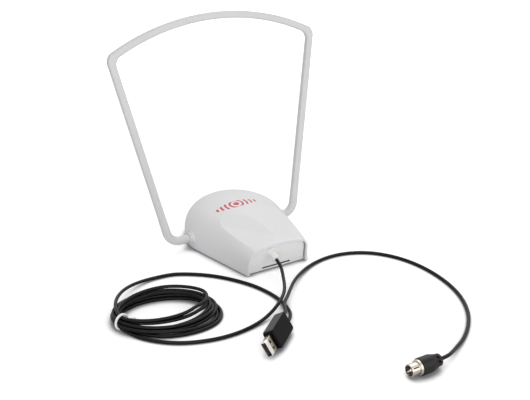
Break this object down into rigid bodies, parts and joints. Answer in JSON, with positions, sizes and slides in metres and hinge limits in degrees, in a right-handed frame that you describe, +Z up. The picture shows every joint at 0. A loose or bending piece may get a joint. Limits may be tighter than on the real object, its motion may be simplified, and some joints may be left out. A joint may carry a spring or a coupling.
{
  "type": "indoor tv loop antenna",
  "caption": "White indoor loop antenna: low rounded housing with a tilting loop, a black coaxial cable with a tied coil, a USB power block and a coaxial TV plug.",
  "frame": {"origin": "on the table, on the standing face of the rubber pad, straight below the middle of the loop's pivot line and in the housing's plane of symmetry", "axes": "+Z up, +X along the pivot line to the right as seen from the cable side, -Y towards the cable side"},
  "size_m": [0.2753, 0.3175, 0.2075],
  "materials": {
    "housing_white": "fine satin moulding",
    "bush_white": "satin moulding",
    "loop_white": "satin moulding",
    "pad_rubber": "matt foam rubber",
    "screw_steel": "zinc plated",
    "pin_brass": "turned",
    "clip_steel": "spring steel",
    "board_laminate": "solder mask",
    "can_tin": "tin plate",
    "core_ferrite": "sintered ferrite",
    "capacitor_sleeve": "shrink sleeve",
    "contact_bronze": "spring strip",
    "gland_ivory": "soft moulding",
    "cable_black": "soft PVC jacket",
    "tie_white": "plastic coated wire",
    "usb_black": "fine grained moulding",
    "usb_nickel": "nickel plated sheet",
    "usb_tongue_white": "moulded",
    "usb_gold": "gold flash",
    "plug_black": "moulded over",
    "plug_nickel": "nickel plated",
    "plug_insulator": "natural moulding"
  },
  "bodies": {
    "base": {"top_shell": "housing_white", "bottom_tray": "housing_white", "rubber_pad": "pad_rubber", "tray_screws": "screw_steel", "pivot_bush_left": "bush_white", "pivot_bush_right": "bush_white", "amplifier_board": "board_laminate", "board_screws": "screw_steel", "shield_can": "can_tin", "balun_core": "core_ferrite", "supply_capacitor": "capacitor_sleeve", "contact_left": "contact_bronze", "contact_right": "contact_bronze", "cable_gland": "gland_ivory", "inner_lead": "cable_black", "coax_lead": "cable_black", "coax_coil": "cable_black", "coil_tie": "tie_white", "coax_tail": "cable_black", "usb_case_upper": "usb_black", "usb_case_lower": "usb_black", "usb_shell": "usb_nickel", "usb_tongue": "usb_tongue_white", "usb_contacts": "usb_gold", "injector_board": "board_laminate", "tv_lead": "cable_black", "tv_plug_body": "plug_black", "tv_plug_sleeve": "plug_nickel", "tv_plug_insulator": "plug_insulator", "tv_plug_pin": "plug_nickel"},
    "loop": {"loop_frame": "loop_white", "pivot_pin_left": "pin_brass", "pivot_pin_right": "pin_brass", "retaining_clips": "clip_steel"}
  },
  "joints": [
    {"name": "loop_tilt", "type": "hinge", "parent": "base", "child": "loop", "pos_m": [0, 0, 0.0108], "axis": [1, 0, 0], "range_deg": [-78, 75]}
  ]
}
